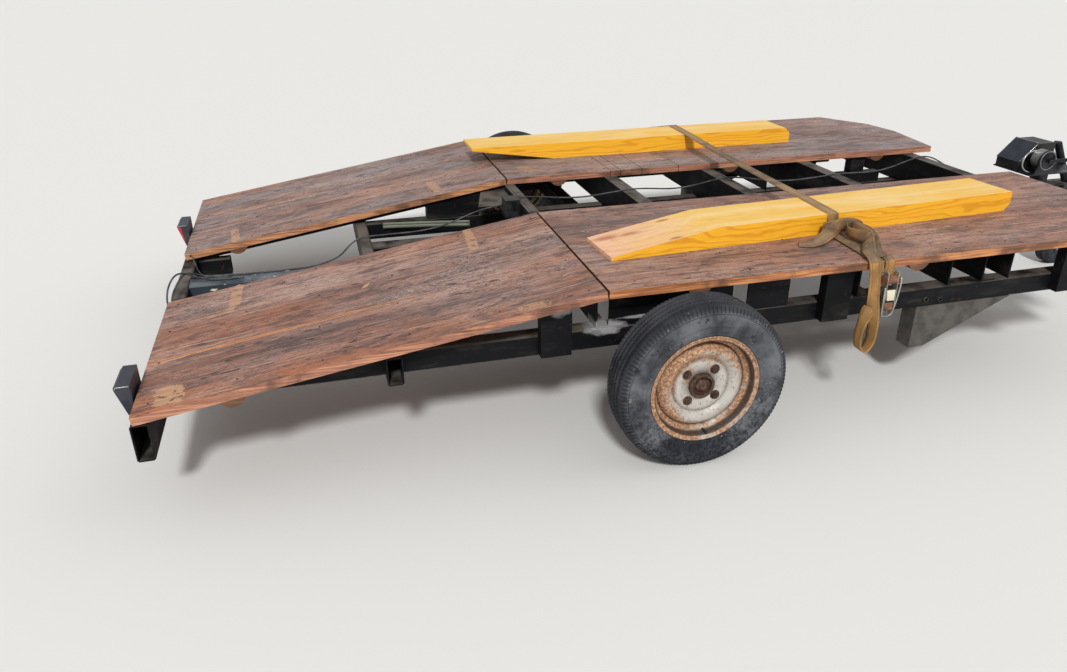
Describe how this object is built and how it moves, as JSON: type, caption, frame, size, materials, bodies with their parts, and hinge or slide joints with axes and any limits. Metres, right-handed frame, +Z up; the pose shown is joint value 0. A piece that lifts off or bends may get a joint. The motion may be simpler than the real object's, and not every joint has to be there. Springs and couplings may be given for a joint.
{
  "type": "car trailer",
  "caption": "Single-axle flat-bed car trailer with two plank runways sloping down at the rear, outboard wheels, drawbar and jockey wheel.",
  "frame": {"origin": "middle of the trailer's footprint, on the ground", "axes": "+X forward to the coupling, +Y to the trailer's left, +Z up; the wheels' common axle runs along Y"},
  "size_m": [4.923, 2.565, 0.86],
  "materials": {
    "frame_paint": "black paint, dusty, chipped at edges",
    "spine_paint": "blue-grey paint, chipped",
    "bare_steel": "dull galvanised steel",
    "boards": "weathered reddish-brown panels",
    "timber": "fresh yellow softwood",
    "tyre": "worn black rubber",
    "rim": "silver paint with rust",
    "hub": "rusty iron",
    "lamp_housing": "black plastic",
    "lamp_lens": "red lens",
    "box": "black plastic",
    "lid": "navy plastic",
    "jockey_steel": "zinc plated steel",
    "rubber": "solid rubber",
    "webbing": "brown webbing",
    "cable": "black cable"
  },
  "bodies": {
    "chassis": {"axle_beam": "frame_paint", "battens": "boards", "coupling_head": "jockey_steel", "coupling_lever": "jockey_steel", "cross_members": "frame_paint", "deck_boards_left": "boards", "deck_boards_right": "boards", "drawbar": "frame_paint", "drawbar_brace_left": "frame_paint", "drawbar_brace_right": "frame_paint", "front_box": "box", "inner_posts": "frame_paint", "inner_rail_left": "frame_paint", "inner_rail_right": "frame_paint", "jockey_clamp": "jockey_steel", "jockey_crank": "jockey_steel", "jockey_outer_tube": "jockey_steel", "joint_cross_member": "frame_paint", "junction_box": "lamp_housing", "lead_plug": "lamp_housing", "loading_timber_left": "timber", "loading_timber_right": "timber", "low_cross_tube": "frame_paint", "ramp_bearers_left": "frame_paint", "ramp_bearers_right": "frame_paint", "ramp_boards_left": "boards", "ramp_boards_right": "boards", "ratchet": "jockey_steel", "rear_beam": "frame_paint", "rear_spine": "spine_paint", "runway_joists": "frame_paint", "side_posts_left": "frame_paint", "side_posts_right": "frame_paint", "side_rail_left": "frame_paint", "side_rail_right": "frame_paint", "stay_bracket_left": "bare_steel", "stay_bracket_right": "bare_steel", "strap": "webbing", "swing_arm_left": "frame_paint", "swing_arm_right": "frame_paint", "tail_lamp_left": "lamp_housing", "tail_lamp_right": "lamp_housing", "tail_lens_left": "lamp_lens", "tail_lens_right": "lamp_lens", "winch_brace": "spine_paint", "winch_drum": "jockey_steel", "winch_frame": "frame_paint", "winch_post": "frame_paint", "wiring": "cable"},
    "wheel_right": {"tyre_right": "tyre", "rim_right": "rim", "hub_drum_right": "hub"},
    "wheel_left": {"tyre_left": "tyre", "rim_left": "rim", "hub_drum_left": "hub"},
    "jockey_leg": {"jockey_inner_tube": "jockey_steel"},
    "jockey_castor": {"jockey_fork": "jockey_steel"},
    "jockey_wheel": {"jockey_roller": "rubber"},
    "lid": {"box_lid": "lid"}
  },
  "joints": [
    {"name": "wheel_right_spin", "type": "hinge", "parent": "chassis", "child": "wheel_right", "pos_m": [-0.7615, -1.21, 0.281], "axis": [0, 1, 0], "continuous": true},
    {"name": "wheel_left_spin", "type": "hinge", "parent": "chassis", "child": "wheel_left", "pos_m": [-0.7615, 1.21, 0.281], "axis": [0, 1, 0], "continuous": true},
    {"name": "jockey_raise", "type": "slide", "parent": "chassis", "child": "jockey_leg", "axis": [0, 0, 1], "range_m": [-0.15, 0.11]},
    {"name": "jockey_swivel", "type": "hinge", "parent": "jockey_leg", "child": "jockey_castor", "pos_m": [1.8285, -0.078, 0.21], "axis": [0, 0, 1], "continuous": true},
    {"name": "jockey_roll", "type": "hinge", "parent": "jockey_castor", "child": "jockey_wheel", "pos_m": [1.7905, -0.078, 0.09], "axis": [0, 1, 0], "continuous": true},
    {"name": "lid_hinge", "type": "hinge", "parent": "chassis", "child": "lid", "pos_m": [1.5335, 0, 0.625], "axis": [0, 1, 0], "range_deg": [0, 100]}
  ]
}
